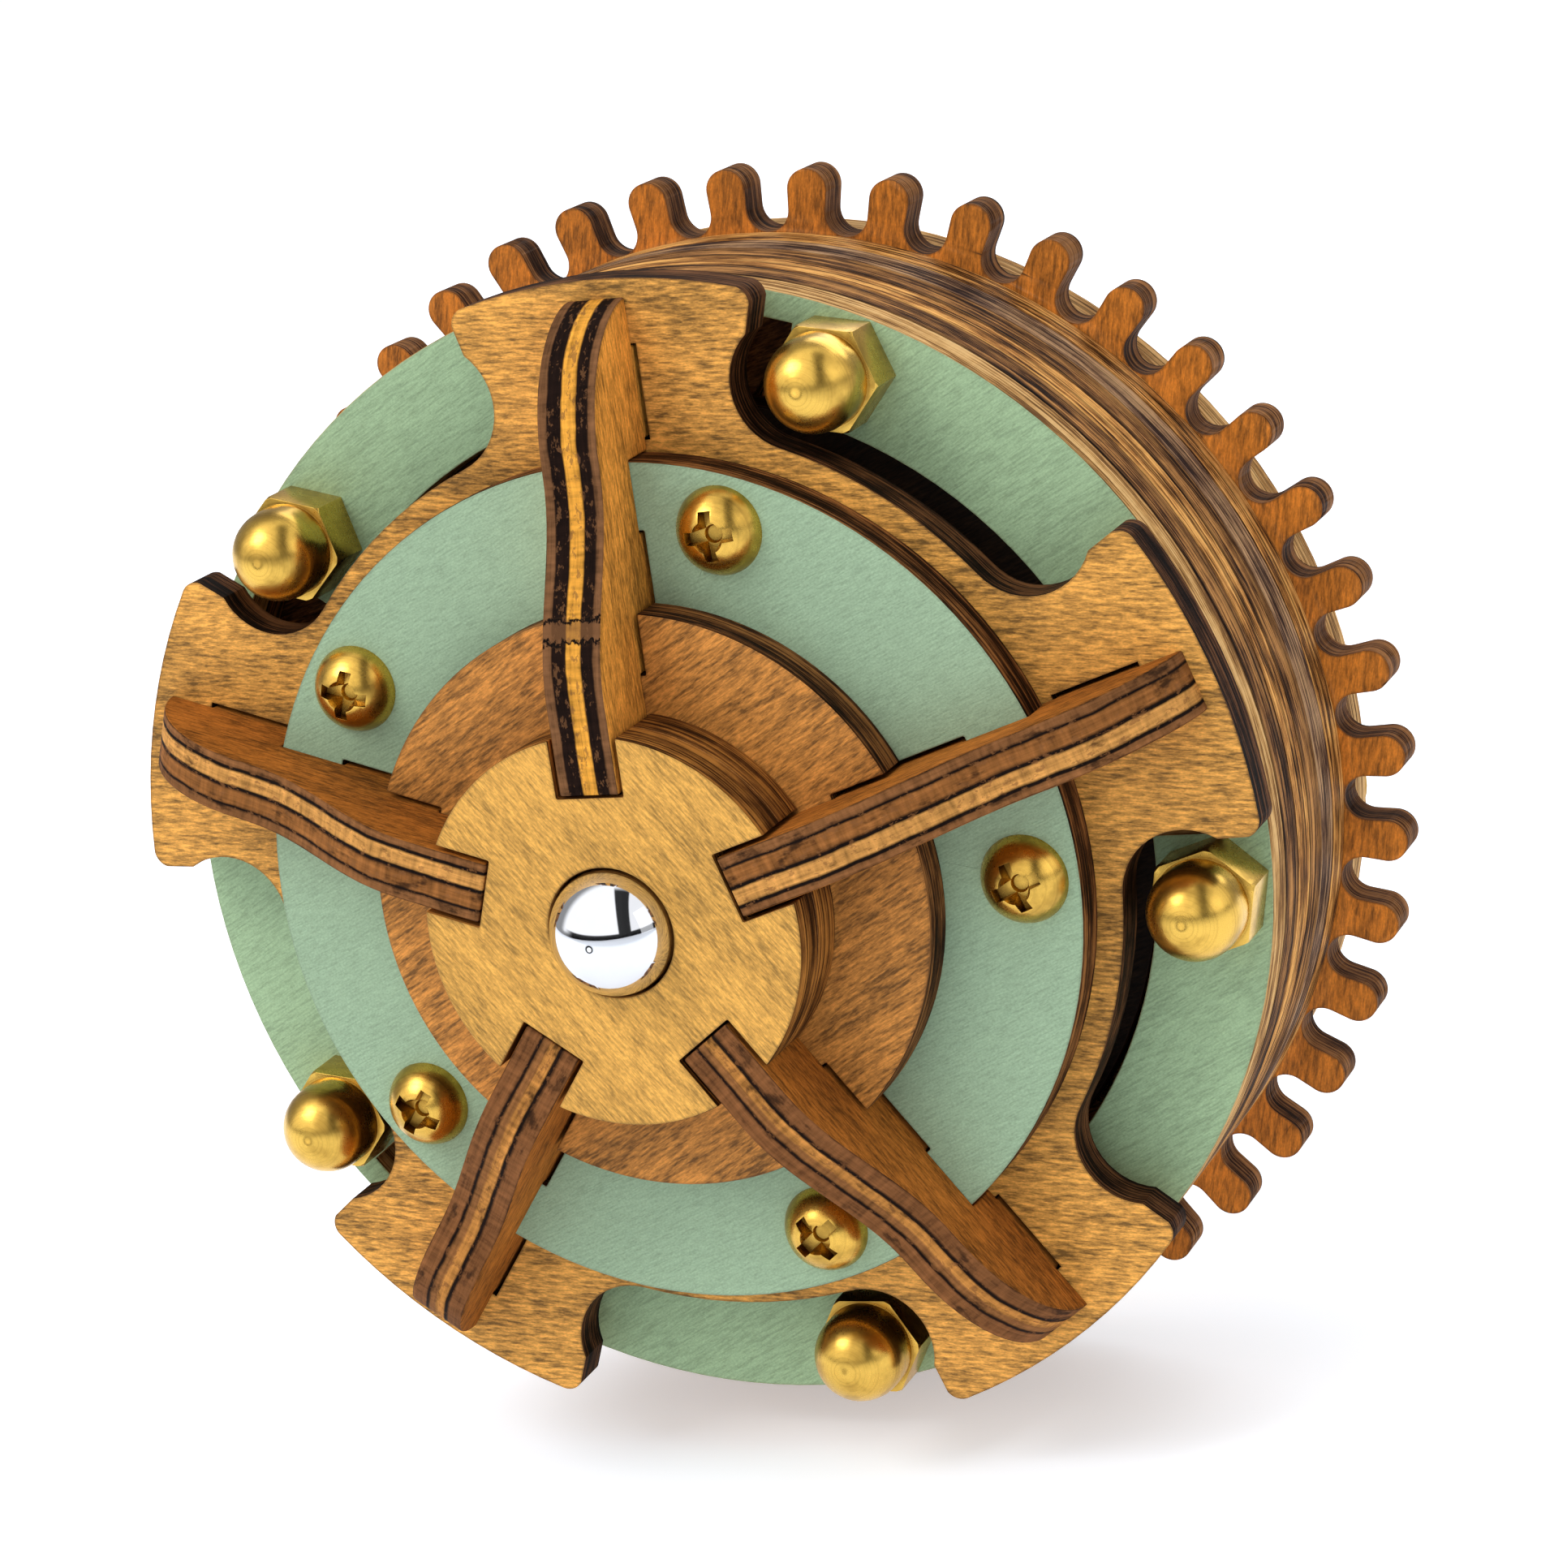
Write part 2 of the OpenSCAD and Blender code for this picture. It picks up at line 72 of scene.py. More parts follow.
class Graph:
    """Thin wrapper that makes shader nodes of a material or world and links them in one call."""

    def __init__(self, owner):
        self.owner = owner
        owner.use_nodes = True
        self.tree = owner.node_tree
        self.tree.nodes.clear()

    def add(self, kind, output=0, settings=None, **inputs):
        node = self.tree.nodes.new("ShaderNode" + kind)
        for key, value in (settings or {}).items():
            setattr(node, key, value)
        for key, value in inputs.items():
            index = int(key[1:]) if key[0] == "i" and key[1:].isdigit() else key.replace("_", " ")
            self.feed(node.inputs[index], value)
        return node.outputs[output]

    def feed(self, socket, value):
        if isinstance(value, bpy.types.NodeSocket):
            self.tree.links.new(value, socket)
        else:
            socket.default_value = value

    def math(self, operation, a, b=0.0, c=0.0, clamp=False):
        return self.add("Math", settings={"operation": operation, "use_clamp": clamp}, i0=a, i1=b, i2=c)

    def mix(self, factor, a, b, blend="MIX"):
        node = self.tree.nodes.new("ShaderNodeMix")
        node.data_type = "RGBA"
        node.blend_type = blend
        self.feed(node.inputs[0], factor)
        self.feed(node.inputs[6], a)
        self.feed(node.inputs[7], b)
        return node.outputs[2]

    def ramp(self, value, stops):
        node = self.tree.nodes.new("ShaderNodeValToRGB")
        ramp = node.color_ramp
        while len(ramp.elements) < len(stops):
            ramp.elements.new(1.0)
        for element, (place, colour) in zip(ramp.elements, stops):
            element.position = place
            element.color = colour
        self.feed(node.inputs[0], value)
        return node.outputs[0]

    def level(self, value, low, high):
        """0 below low, 1 above high, smooth between."""
        return self.add("MapRange", settings={"interpolation_type": "SMOOTHSTEP"},
                        Value=value, From_Min=low, From_Max=high)

    def noise(self, vector, detail=4.0, roughness=0.6, distortion=0.0):
        return self.add("TexNoise", Vector=vector, Scale=1.0, Detail=detail,
                        Roughness=roughness, Distortion=distortion)

    def dot(self, vector, direction):
        return self.add("VectorMath", output=1, settings={"operation": "DOT_PRODUCT"},
                        i0=vector, i1=direction)

    def object_mm(self):
        """Object coordinates in millimetres."""
        return stretched(self, self.add("TexCoord", output=3), (1000.0, 1000.0, 1000.0))

    def even(self, value):
        """One value as a neutral colour."""
        return self.add("CombineColor", Red=value, Green=value, Blue=value)

    def shaded(self, colour, shade):
        return self.mix(1.0, colour, self.even(shade), "MULTIPLY")

    def between(self, value, middle, far, near):
        """1 where value is within near of middle, 0 beyond far of it."""
        offset = self.math("ABSOLUTE", self.math("SUBTRACT", value, middle))
        return self.level(offset, far, near)

    def finish(self, colour, roughness, metallic=0.0, normal=None, specular=0.5):
        shader = self.tree.nodes.new("ShaderNodeBsdfPrincipled")
        self.feed(shader.inputs["Base Color"], colour)
        self.feed(shader.inputs["Roughness"], roughness)
        shader.inputs["Metallic"].default_value = metallic
        self.feed(shader.inputs["Specular IOR Level"], specular)
        if normal is not None:
            self.feed(shader.inputs["Normal"], normal)
        out = self.tree.nodes.new("ShaderNodeOutputMaterial")
        self.tree.links.new(shader.outputs[0], out.inputs[0])
        return self.owner


def grey(value):
    return (value, value, value, 1.0)


def linear(red, green, blue):
    """An sRGB colour in 0..255 as a linear colour."""
    def one(channel):
        channel /= 255.0
        return channel / 12.92 if channel <= 0.04045 else ((channel + 0.055) / 1.055) ** 2.4
    return (one(red), one(green), one(blue), 1.0)


# ---- plywood ----

def turned(graph, angle, offset=(0.0, 0.0, 0.0)):
    """Object coordinates in mm, turned so that X runs along the grain."""
    place = graph.add("TexCoord", output=3)
    return graph.add("Mapping", settings={"vector_type": "POINT"}, Vector=place,
                     Scale=(1000.0, 1000.0, 1000.0), Rotation=(0.0, angle, 0.0),
                     Location=offset)


def stretched(graph, vector, scale):
    return graph.add("VectorMath", settings={"operation": "MULTIPLY"}, i0=vector, i1=scale)


def grain_face(graph, vector, dark, mid, light, fibre, fleck=0.5, blotch=0.5, band=0.3):
    """Colour and height of a sawn veneer face whose grain runs along the vector's X."""
    fibres = graph.noise(stretched(graph, vector, (0.8, 0.9, fibre * 1.7)), 4.0, 0.68)
    speckle = graph.noise(stretched(graph, vector, (5.5, 5.5, 7.0)), 1.0, 0.5)
    bands = graph.noise(stretched(graph, vector, (0.09, 0.2, 0.5)), 3.0, 0.6, 0.8)
    patches = graph.noise(stretched(graph, vector, (0.07, 0.09, 0.11)), 3.0, 0.55)
    pores = graph.noise(stretched(graph, vector, (0.9, 0.9, fibre * 1.7)), 2.0, 0.5)
    tone = graph.math("ADD", graph.math("MULTIPLY", fibres, 1.0 - band), graph.math("MULTIPLY", bands, band))
    colour = graph.ramp(tone, [(0.38, dark), (0.5, mid), (0.62, light)])
    shade = graph.math("ADD", graph.math("MULTIPLY", graph.math("SUBTRACT", patches, 0.5), blotch), 1.0)
    shade = graph.math("ADD", shade, graph.math("MULTIPLY", graph.math("SUBTRACT", speckle, 0.5), 0.5))
    colour = graph.shaded(colour, shade)
    pore_mask = graph.math("MULTIPLY", graph.level(pores, 0.6, 0.72), fleck)
    colour = graph.mix(pore_mask, colour, dark)
    height = graph.math("SUBTRACT", fibres, graph.math("MULTIPLY", pore_mask, 0.5))
    return colour, height


def cut_edge(graph, level, dark, mid, light, lines):
    """Colour of a laser-cut edge; level runs 0..1 across the sheet, lines are its glue lines."""
    millimetres = graph.object_mm()
    streak = graph.noise(stretched(graph, millimetres, (0.09, 4.2, 0.09)), 5.0, 0.75, 0.4)
    scorch = graph.noise(stretched(graph, millimetres, (0.16, 0.5, 0.16)), 4.0, 0.65)
    strokes = graph.noise(stretched(graph, millimetres, (3.0, 0.15, 3.0)), 2.0, 0.5)
    tone = graph.math("ADD", graph.math("MULTIPLY", streak, 0.65), graph.math("MULTIPLY", scorch, 0.35))
    colour = graph.ramp(tone, [(0.44, dark), (0.5, mid), (0.56, light)])
    line_mask = graph.ramp(level, lines)
    colour = graph.mix(1.0, colour, line_mask, "MULTIPLY")
    shade = graph.math("ADD", graph.math("MULTIPLY", strokes, 0.3), 0.85)
    colour = graph.shaded(colour, shade)
    return colour, graph.math("ADD", streak, graph.math("MULTIPLY", strokes, 0.4))


def rim_mask(graph, radius_mm, strength=1.0):
    """1 close to an edge of the piece, 0 on its flats."""
    rounded = graph.add("Bevel", settings={"samples": 4}, Radius=radius_mm * MM)
    flat = graph.add("NewGeometry", output=1)
    near = graph.math("SUBTRACT", 1.0, graph.dot(rounded, flat))
    return graph.math("MULTIPLY", graph.level(near, 0.002, 0.12), strength)


GLUE_LINES = [(0.0, grey(0.45)), (0.05, grey(1.0)), (0.30, grey(1.0)), (0.345, grey(0.35)),
              (0.39, grey(0.85)), (0.61, grey(0.85)), (0.655, grey(0.35)), (0.70, grey(1.0)),
              (0.95, grey(1.0)), (1.0, grey(0.45))]


def plywood(name, node, face, edge, grain_deg, fibre=3.0, fleck=0.4, blotch=0.5,
            lines=None, rim=0.28, rim_strength=0.75, rim_colour=(58, 34, 22), rough=0.6,
            bump=0.25, band=0.3):
    """Flat ply plate: veneer on the faces, layered scorched wood on the cut edges."""
    face_tones = [linear(*tone) for tone in face]
    edge_tones = [linear(*tone) for tone in edge]
    graph = Graph(bpy.data.materials.new(name))
    low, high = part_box(node)
    front, back = low[1], high[1]
    place = graph.add("TexCoord", output=3)
    axial = graph.add("SeparateXYZ", output=1, Vector=place)
    level = graph.math("DIVIDE", graph.math("SUBTRACT", axial, front), back - front, clamp=True)
    vector = turned(graph, math.radians(grain_deg), (3.7 * len(name), 0.0, 1.9 * len(name)))
    face_colour, face_height = grain_face(graph, vector, *face_tones, fibre, fleck, blotch, band)
    edge_colour, edge_height = cut_edge(graph, level, *edge_tones, lines or GLUE_LINES)
    face_colour = graph.mix(rim_mask(graph, rim, rim_strength), face_colour, linear(*rim_colour))
    normal = graph.add("SeparateXYZ", output=1, Vector=graph.add("TexCoord", output=1))
    is_face = graph.level(graph.math("ABSOLUTE", normal), 0.6, 0.85)
    colour = graph.mix(is_face, edge_colour, face_colour)
    height = graph.math("ADD", graph.math("MULTIPLY", face_height, is_face),
                        graph.math("MULTIPLY", edge_height, graph.math("SUBTRACT", 1.0, is_face)))
    bumped = graph.add("Bump", Strength=bump, Distance=0.12 * MM, Height=height)
    roughness = graph.math("ADD", graph.math("MULTIPLY", face_height, 0.15), rough - 0.05)
    shine = graph.math("ADD", graph.math("MULTIPLY", is_face, 0.15), 0.03)
    return graph.finish(colour, roughness, normal=bumped, specular=shine)


FIN_PLY_MM = 4.1
TOP_STRIPES = "v.02 v.12 x.15 x.33 c.36 c.57 x.6 x.82 v.85 v.98"
SIDE_STRIPES = "v.03 v.12 k.14 k.18 c.22 c.43 k.46 k.5 x.55 x.77 k.8 k.82 v.86 v.97"
LOW_STRIPES = "v.03 v.27 k.3 k.33 x.37 x.46 c.5 c.63 k.66 k.7 v.75 v.97"


def ply_stripes(pattern, veneer, cross, core, char):
    """Ramp stops from a pattern: a letter for the layer, then its place across the edge."""
    layers = {"v": veneer, "x": cross, "c": core, "k": char}
    return [(0.0, char)] + [(float(word[1:]), layers[word[0]]) for word in pattern.split()] + [(1.0, char)]


def fin_wood(name, angle, side, edge, pattern, char_amount, joint_mm=None):
    """Fin on edge: stripes of the plies across its thickness, grain along its side."""
    graph = Graph(bpy.data.materials.new(name))
    millimetres = graph.object_mm()
    outwards = (math.cos(angle), 0.0, math.sin(angle))
    across = (-math.sin(angle), 0.0, math.cos(angle))
    along_mm = graph.dot(millimetres, outwards)
    across_mm = graph.dot(millimetres, across)
    axial_mm = graph.add("SeparateXYZ", output=1, Vector=millimetres)
    local = graph.add("CombineXYZ", X=along_mm, Y=across_mm, Z=axial_mm)
    side_colour, side_height = grain_face(graph, local, *[linear(*c) for c in side], 2.6, 0.5, 0.6)
    wobble = graph.noise(stretched(graph, local, (0.25, 0.1, 0.25)), 3.0, 0.6)
    spread = graph.math("ADD", across_mm, graph.math("MULTIPLY", graph.math("SUBTRACT", wobble, 0.5), 0.35))
    level = graph.math("ADD", graph.math("DIVIDE", spread, FIN_PLY_MM), 0.5, clamp=True)
    veneer, cross, core, char = [linear(*c) for c in edge]
    stripes = graph.ramp(level, ply_stripes(pattern, veneer, cross, core, char))
    streak = graph.noise(stretched(graph, local, (0.12, 3.0, 0.12)), 5.0, 0.7)
    ticks = graph.noise(stretched(graph, local, (2.2, 0.4, 2.2)), 3.0, 0.6)
    scorch = graph.noise(stretched(graph, local, (0.35, 0.8, 0.35)), 4.0, 0.65)
    shade = graph.math("ADD", graph.math("MULTIPLY", streak, 0.55), graph.math("MULTIPLY", ticks, 0.45))
    shade = graph.math("ADD", graph.math("MULTIPLY", shade, 3.4), -0.72)
    stripes = graph.shaded(stripes, shade)
    flecks = graph.noise(stretched(graph, local, (1.3, 2.2, 1.3)), 3.0, 0.7)
    stripes = graph.mix(graph.math("MULTIPLY", graph.level(flecks, 0.55, 0.63), 0.6), stripes, veneer)
    stripes = graph.mix(graph.math("MULTIPLY", graph.level(scorch, 0.54, 0.7), char_amount), stripes, char)
    if joint_mm:
        fray = graph.math("MULTIPLY", graph.math("SUBTRACT", flecks, 0.5), 1.5)
        ragged = graph.math("ADD", along_mm, fray)
        off_joint = graph.math("ABSOLUTE", graph.math("SUBTRACT", ragged, joint_mm))
        stripes = graph.mix(graph.math("MULTIPLY", graph.level(off_joint, 0.9, 0.5), 0.65), stripes, veneer)
        stripes = graph.mix(graph.between(off_joint, 0.65, 0.2, 0.05), stripes, char)
    normal_across = graph.dot(graph.add("TexCoord", output=1), across)
    is_side = graph.level(graph.math("ABSOLUTE", normal_across), 0.6, 0.85)
    side_colour = graph.mix(rim_mask(graph, 0.3, 0.8), side_colour, char)
    colour = graph.mix(is_side, stripes, side_colour)
    height = graph.math("ADD", graph.math("MULTIPLY", side_height, is_side),
                        graph.math("MULTIPLY", streak, graph.math("SUBTRACT", 1.0, is_side)))
    bumped = graph.add("Bump", Strength=0.35, Distance=0.15 * MM, Height=height)
    return graph.finish(colour, 0.75, normal=bumped, specular=0.05)


def painted_ply(name, node, dark, mid, light, edge, grain_deg, lines, **options):
    """Painted plate: thin paint that lets the grain show."""
    return plywood(name, node, (dark, mid, light), edge, grain_deg, fibre=3.6, fleck=0.16, blotch=0.16,
                   lines=lines, rough=0.6, bump=0.3, band=0.12, **options)


# ---- metals ----

def turned_rings(graph, place_mm, ring):
    """Fine rings round the five axes of a bolt circle, as a lathe leaves them."""
    radius_mm, first_angle = ring
    x, y, z = (graph.add("SeparateXYZ", output=i, Vector=place_mm) for i in range(3))
    angle = graph.math("SUBTRACT", graph.math("ARCTAN2", z, x), first_angle)
    angle = graph.math("WRAP", angle, SECTOR / 2.0, -SECTOR / 2.0)
    reach = graph.math("SQRT", graph.math("ADD", graph.math("MULTIPLY", x, x), graph.math("MULTIPLY", z, z)))
    across = graph.math("SUBTRACT", graph.math("MULTIPLY", reach, graph.math("COSINE", angle)), radius_mm)
    along = graph.math("MULTIPLY", reach, graph.math("SINE", angle))
    distance = graph.math("SQRT", graph.math("ADD", graph.math("MULTIPLY", across, across),
                                             graph.math("MULTIPLY", along, along)))
    return graph.noise(graph.add("CombineXYZ", X=graph.math("MULTIPLY", distance, 5.0),
                                 Y=graph.math("MULTIPLY", y, 2.0)), 3.0, 0.6)


def brass(name, tint=(222, 180, 84), stain_and_shade_colour=(120, 84, 30), rough=0.27, ring=None):
    graph = Graph(bpy.data.materials.new(name))
    place = graph.object_mm()
    patches = graph.noise(stretched(graph, place, (0.45, 0.45, 0.45)), 4.0, 0.6)
    fine = graph.noise(stretched(graph, place, (5.0, 5.0, 5.0)), 3.0, 0.6)
    # Painted shade: local ambient occlusion finds creases and recesses, and the mix below darkens them
    # toward the stain colour.
    crease_shade = graph.add("AmbientOcclusion", output=1, settings={"samples": 6, "only_local": True},
                       Distance=0.9 * MM)
    # The stain colour serves the real stain patches, the lathe rings and the painted crease shade.
    clean, stain_and_shade = linear(*tint), linear(*stain_and_shade_colour)
    colour = graph.mix(graph.math("MULTIPLY", graph.level(patches, 0.42, 0.7), 0.45), clean, stain_and_shade)
    # Darkens creases and recesses: painted shade.
    colour = graph.mix(graph.math("MULTIPLY", graph.level(crease_shade, 0.9, 0.35), 0.92), colour, stain_and_shade)
    relief = fine
    if ring:
        rings = turned_rings(graph, place, ring)
        relief = graph.math("ADD", graph.math("MULTIPLY", fine, 0.5), graph.math("MULTIPLY", rings, 1.2))
        colour = graph.mix(graph.math("MULTIPLY", graph.level(rings, 0.5, 0.7), 0.25), colour, stain_and_shade)
    roughness = graph.math("ADD", graph.math("MULTIPLY", graph.math("SUBTRACT", fine, 0.5), 0.12),
                           graph.math("ADD", graph.math("MULTIPLY", patches, 0.16), rough - 0.06))
    bumped = graph.add("Bump", Strength=0.25, Distance=0.02 * MM, Height=relief)
    return graph.finish(colour, roughness, metallic=1.0, normal=bumped)


def polished(name, tint, rough):
    graph = Graph(bpy.data.materials.new(name))
    place = graph.object_mm()
    haze = graph.noise(stretched(graph, place, (0.8, 0.8, 0.8)), 3.0, 0.5)
    colour = graph.mix(graph.math("MULTIPLY", haze, 0.2), linear(*tint), linear(*[0.82 * c for c in tint]))
    roughness = graph.math("ADD", graph.math("MULTIPLY", haze, 0.05), rough)
    return graph.finish(colour, roughness, metallic=1.0)


# ---- assign ----

PALE_LINES = [(0.0, grey(0.8)), (0.1, grey(1.0)), (0.93, grey(1.0)), (1.0, grey(0.4))]
CENTRE_LINE = [(0.0, grey(0.5)), (0.06, grey(1.0)), (0.42, grey(0.95)), (0.5, grey(0.3)),
               (0.58, grey(0.9)), (0.94, grey(1.0)), (1.0, grey(0.5))]
DARK_FRONT = [(0.0, grey(0.25)), (0.12, grey(0.6)), (0.25, grey(1.0)), (0.6, grey(0.8)),
              (0.78, grey(0.45)), (0.9, grey(0.8)), (1.0, grey(0.3))]

WARM_EDGE = ((40, 24, 14), (92, 58, 32), (142, 96, 54))
BURNT_EDGE = ((14, 9, 7), (46, 28, 18), (108, 70, 42))
HUB_EDGE = ((46, 27, 12), (116, 73, 34), (170, 114, 52))
COLLAR_EDGE = ((26, 16, 10), (80, 50, 28), (146, 98, 54))
DRUM_EDGE = ((46, 28, 16), (168, 111, 56), (230, 172, 96))
DARK_DRUM_EDGE = ((28, 18, 13), (116, 76, 44), (188, 134, 76))
PURPLE_EDGE = ((38, 27, 26), (120, 88, 66), (180, 142, 102))
PALE_EDGE = ((104, 70, 38), (182, 136, 78), (214, 174, 116))
GEAR_EDGE = ((40, 24, 15), (102, 65, 38), (152, 104, 62))
# Near-black wood for faces deep inside the drum: painted shade, standing in for the dark seen through the
# gaps and windows.
PAINTED_INSIDE_SHADE = ((18, 12, 9), (34, 23, 16), (50, 34, 22))


def dress(name, material, bevel_mm, **options):
    """Gives a CAD node its material and its soft edges."""
    nodes[name].data.materials.clear()
    nodes[name].data.materials.append(material)
    finish_mesh(nodes[name], bevel_mm, **options)


def shades(red, green, blue, spread=0.16):
    """Dark, middle and light tones of one wood."""
    return tuple(tuple(min(255, channel * k) for channel in (red, green, blue))
                 for k in (1.0 - 1.6 * spread, 1.0, 1.0 + spread))


plates = {
    "hub_front_disc": plywood("hub_front_ply", "hub_front_disc", shades(198, 148, 70, 0.16), HUB_EDGE,
                              -52, fibre=3.0, fleck=0.5, blotch=0.25),
    "hub_rear_disc": plywood("hub_rear_ply", "hub_rear_disc", shades(160, 108, 58), HUB_EDGE, 40),
    "collar_disc": plywood("collar_ply", "collar_disc", shades(176, 118, 55, 0.24), COLLAR_EDGE,
                           30, fibre=2.8, fleck=0.5, blotch=0.5),
    "carrier_disc": painted_ply("carrier_paint", "carrier_disc", *shades(147, 172, 142, 0.045), COLLAR_EDGE,
                                24, None, rim_colour=(70, 60, 40), rim_strength=0.6),
    "star_plate": plywood("star_ply", "star_plate", shades(194, 140, 66, 0.26), BURNT_EDGE,
                          -4, fibre=2.8, fleck=0.6, blotch=0.5),
    "drum_front_plate": painted_ply("drum_paint", "drum_front_plate", *shades(150, 176, 138, 0.06),
                                    PALE_EDGE, 28, PALE_LINES, rim_colour=(120, 110, 74), rim_strength=0.6),
    # The front spacer's faces take the near-black painted shade of the drum's inside.
    "drum_spacer_front": plywood("spacer_front_ply", "drum_spacer_front", PAINTED_INSIDE_SHADE, DARK_DRUM_EDGE, 10,
                                 lines=DARK_FRONT),
    "ring_gear_front": plywood("ring_front_ply", "ring_gear_front", GEAR_EDGE, DRUM_EDGE, 15,
                               lines=CENTRE_LINE),
    "ring_gear_rear": plywood("ring_rear_ply", "ring_gear_rear", GEAR_EDGE, DARK_DRUM_EDGE, 70,
                              lines=DARK_FRONT),
    "drum_spacer_rear": plywood("spacer_rear_ply", "drum_spacer_rear", WARM_EDGE, PURPLE_EDGE, 30,
                                lines=GLUE_LINES),
    "drum_rear_ring": plywood("rear_ring_ply", "drum_rear_ring", WARM_EDGE, DRUM_EDGE, 5, lines=CENTRE_LINE),
    "toothed_plate": plywood("gear_ply", "toothed_plate", shades(180, 107, 35, 0.2), GEAR_EDGE,
                             78, fibre=2.6, fleck=0.5, blotch=0.5),
    "rear_plate": plywood("rear_ply", "rear_plate", shades(206, 176, 128, 0.08), PALE_EDGE,
                          86, fibre=2.6, fleck=0.35, blotch=0.3),
    # The inner disc's faces take the near-black painted shade of the drum's inside.
    "carrier_inner_disc": plywood("inner_disc_ply", "carrier_inner_disc", PAINTED_INSIDE_SHADE, BURNT_EDGE, 20),
    "carrier_rear_disc": plywood("carrier_rear_ply", "carrier_rear_disc", shades(150, 110, 66),
                                 BURNT_EDGE, 60),
    "sun_gear": plywood("sun_ply", "sun_gear", shades(176, 130, 74), WARM_EDGE, 30),
}
for index in range(SECTORS):
    planet = f"planet_{index + 1}"
    plates[planet] = plywood(f"{planet}_ply", planet, shades(160, 110, 60), WARM_EDGE, 25 * index)

for name, material in plates.items():
    dress(name, material, 0.12)

# The top fin's side wood is a lighter copy of the other fins' side wood: painted light, since that side
# faces the light.
LIT_TOP_SIDE, FIN_SIDE = shades(208, 140, 58, 0.2), shades(150, 90, 34, 0.22)
TOP_EDGE = ((112, 76, 48), (26, 14, 9), (212, 148, 56), (16, 9, 6))
SIDE_EDGE = ((122, 80, 46), (132, 84, 42), (188, 134, 70), (22, 13, 8))
LOW_EDGE = ((116, 74, 42), (128, 84, 46), (172, 116, 56), (26, 15, 9))
TOP_JOINT_MM = 19.6
for index in range(SECTORS):
    name = f"fin_{index + 1}"
    angle = TOP_FIN_ANGLE - index * SECTOR
    if index == 0:
        # The top fin gets the lighter copy of the side wood, as painted light.
        material = fin_wood(f"{name}_ply", angle, LIT_TOP_SIDE, TOP_EDGE, TOP_STRIPES, 0.3, TOP_JOINT_MM)
    elif index in (2, 3):
        material = fin_wood(f"{name}_ply", angle, FIN_SIDE, LOW_EDGE, LOW_STRIPES, 0.8)
    else:
        material = fin_wood(f"{name}_ply", angle, FIN_SIDE, SIDE_EDGE, SIDE_STRIPES, 0.8)
    dress(name, material, 0.15)

NUT_RING = (35.05, TOP_FIN_ANGLE - math.radians(23.5))
SCREW_RING = (25.0, TOP_FIN_ANGLE - math.radians(17.6))
brass_nut = brass("acorn_brass", ring=NUT_RING)
# The screws' darker stain colour also deepens their recesses, which is painted shade.
brass_screw = brass("screw_brass", tint=(222, 178, 82), stain_and_shade_colour=(84, 56, 20), rough=0.26, ring=SCREW_RING)
brass_dull = brass("bush_brass", tint=(186, 146, 70), rough=0.32)
metals = {
    "acorn_nuts": (brass_nut, 0.12), "planet_screws": (brass_screw, 0.08), "drum_bolts": (brass_dull, 0.08),
    "rear_bush": (brass_dull, 0.12), "carrier_bush": (brass_dull, 0.12),
    "carrier_spacers": (brass_dull, 0.1),
    "planet_bushes": (brass_dull, 0.08), "planet_lock_nuts": (brass_dull, 0.08),
    "sun_spacer_front": (brass_dull, 0.1), "sun_spacer_rear": (brass_dull, 0.1),
    "central_shaft": (polished("shaft_steel", (188, 190, 194), 0.22), 0.15),
    "chrome_cap": (polished("cap_chrome", (228, 230, 235), 0.03), 0.12),
}
for name, (material, width) in metals.items():
    dress(name, material, width, smooth_deg=40.0, segments=3, weighted=False)


# ---- studio ----

FLOOR_HALF = 3.0
PAPER_TINT = (0.93, 0.98, 1.06)
WORLD_STRENGTH = 0.34
LEFT_WALL, RIGHT_WALL = 1.0, 0.8
GAP_SIDE, GAP_HALF = 0.28, 0.16
CAMERA_AZIMUTH, CAMERA_ELEVATION, CAMERA_ROLL = 23.75, 14.63, -8.27
CAMERA_DISTANCE = 0.2893
CAMERA_LENS = 100.1
CAMERA_SHIFT = Vector((5.9, -1.83, 4.65)) * MM

box_low, box_high = [Vector(corner) for corner in cad_box]
centre = (box_low + box_high) / 2.0


def glowing_paper(name, colour, glow):
    """Pale paper, lit a little from within; it greys far out on the camera's side."""
    graph = Graph(bpy.data.materials.new(name))
    place = graph.add("TexCoord", output=3)
    tone = graph.noise(stretched(graph, place, (3.0, 3.0, 3.0)), 2.0, 0.5)
    azimuth = math.radians(CAMERA_AZIMUTH)
    nearer = graph.dot(place, (math.sin(azimuth), -math.cos(azimuth), 0.0))
    fade = graph.math("SUBTRACT", 1.0, graph.math("MULTIPLY", graph.level(nearer, 0.17, 0.3), 0.3))
    shade = graph.math("MULTIPLY", graph.math("ADD", graph.math("MULTIPLY", tone, 0.01), colour), fade)
    red, green, blue = (graph.math("MULTIPLY", shade, share) for share in PAPER_TINT)
    mixed = graph.add("CombineColor", Red=red, Green=green, Blue=blue)
    material = graph.finish(mixed, 0.9, specular=0.1)
    shader = next(node for node in graph.tree.nodes if node.type == "BSDF_PRINCIPLED")
    graph.feed(shader.inputs["Emission Color"], graph.even(fade))
    shader.inputs["Emission Strength"].default_value = glow
    return material


def add_floor():
    signs = [(-1.0, -1.0), (1.0, -1.0), (1.0, 1.0), (-1.0, 1.0)]
    corners = [(FLOOR_HALF * x, FLOOR_HALF * y, box_low.z) for x, y in signs]
    mesh = bpy.data.meshes.new("floor")
    mesh.from_pydata(corners, [], [(0, 1, 2, 3)])
    floor = bpy.data.objects.new("floor", mesh)
    scene.collection.objects.link(floor)
    floor.data.materials.append(glowing_paper("floor_paper", 0.92, 0.35))


